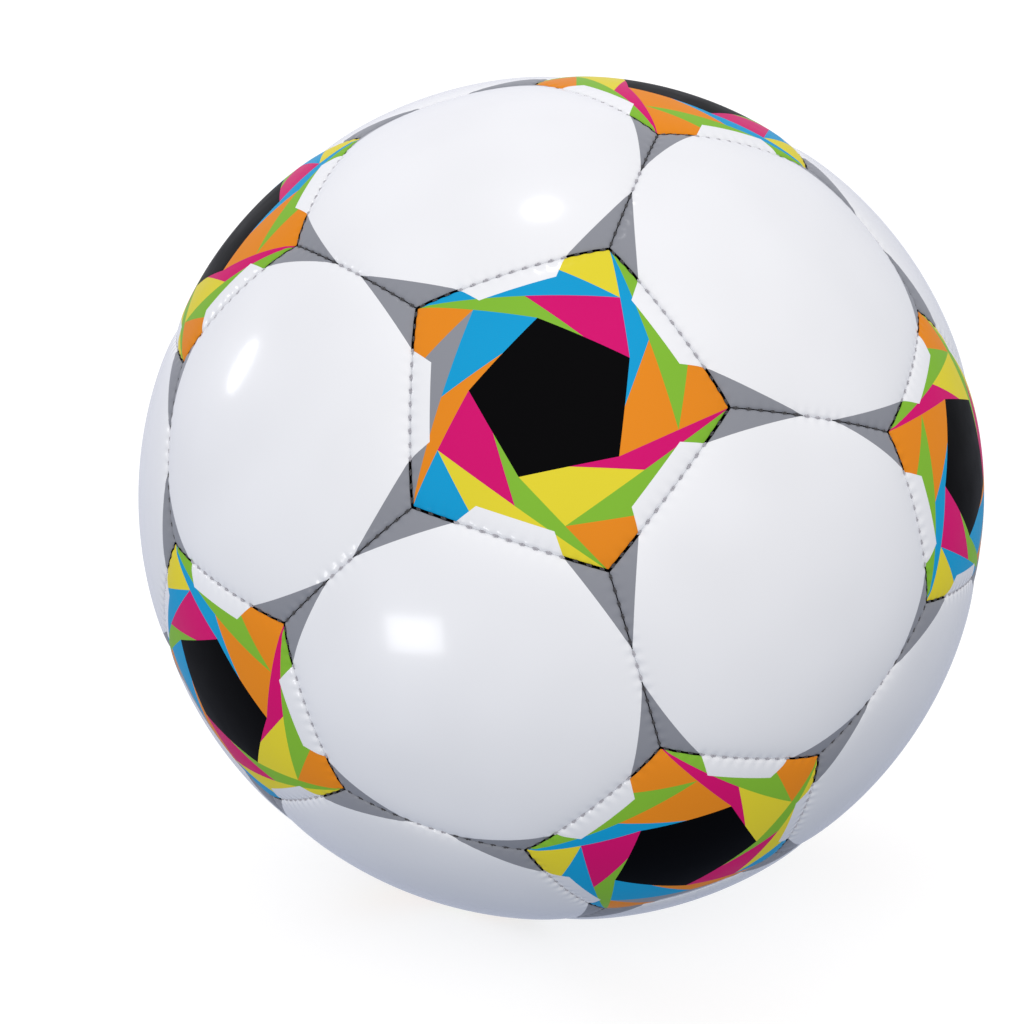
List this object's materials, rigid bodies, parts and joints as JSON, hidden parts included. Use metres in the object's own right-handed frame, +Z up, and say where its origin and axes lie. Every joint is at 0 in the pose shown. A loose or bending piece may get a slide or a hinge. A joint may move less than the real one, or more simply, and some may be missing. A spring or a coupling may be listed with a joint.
{
  "type": "soccer ball",
  "caption": "Round stitched soccer ball of glossy bulged pentagon and hexagon panels over foam, lining and an airtight bladder with a needle valve.",
  "frame": {"origin": "centre of the ball", "axes": "+Z up and +X to the right, with the front of the ball facing -Y; the front pentagon faces 22 degrees above -Y, with one corner towards +X"},
  "size_m": [0.2196, 0.2188, 0.2184],
  "materials": {
    "cover_white": "glossy coated cover, white with grey corners",
    "cover_print": "glossy coated cover, black with coloured print",
    "foam": "closed-cell foam, matt",
    "lining": "woven textile, matt",
    "thread": "waxed twisted thread",
    "bladder": "smooth satin",
    "patch": "matt",
    "valve_housing": "moulded satin",
    "valve_core": "moulded satin"
  },
  "bodies": {
    "root": {"bladder": "bladder", "bladder_valve_patch": "patch", "foam_pads_hexagon": "foam", "foam_pads_pentagon": "foam", "hexagon_seam_thread": "thread", "lining_hexagon": "lining", "lining_pentagon": "lining", "panel_hexagon_01": "cover_white", "panel_hexagon_02": "cover_white", "panel_hexagon_03": "cover_white", "panel_hexagon_04": "cover_white", "panel_hexagon_05": "cover_white", "panel_hexagon_06": "cover_white", "panel_hexagon_07": "cover_white", "panel_hexagon_08": "cover_white", "panel_hexagon_09": "cover_white", "panel_hexagon_10": "cover_white", "panel_hexagon_11": "cover_white", "panel_hexagon_12": "cover_white", "panel_hexagon_13": "cover_white", "panel_hexagon_14": "cover_white", "panel_hexagon_15": "cover_white", "panel_hexagon_16": "cover_white", "panel_hexagon_17": "cover_white", "panel_hexagon_18": "cover_white", "panel_hexagon_19": "cover_white", "panel_hexagon_20": "cover_white", "panel_pentagon_01": "cover_print", "panel_pentagon_02": "cover_print", "panel_pentagon_03": "cover_print", "panel_pentagon_04": "cover_print", "panel_pentagon_05": "cover_print", "panel_pentagon_06": "cover_print", "panel_pentagon_07": "cover_print", "panel_pentagon_08": "cover_print", "panel_pentagon_09": "cover_print", "panel_pentagon_10": "cover_print", "panel_pentagon_11": "cover_print", "panel_pentagon_12": "cover_print", "pentagon_seam_thread": "thread", "valve_core": "valve_core", "valve_housing": "valve_housing"}
  },
  "joints": []
}
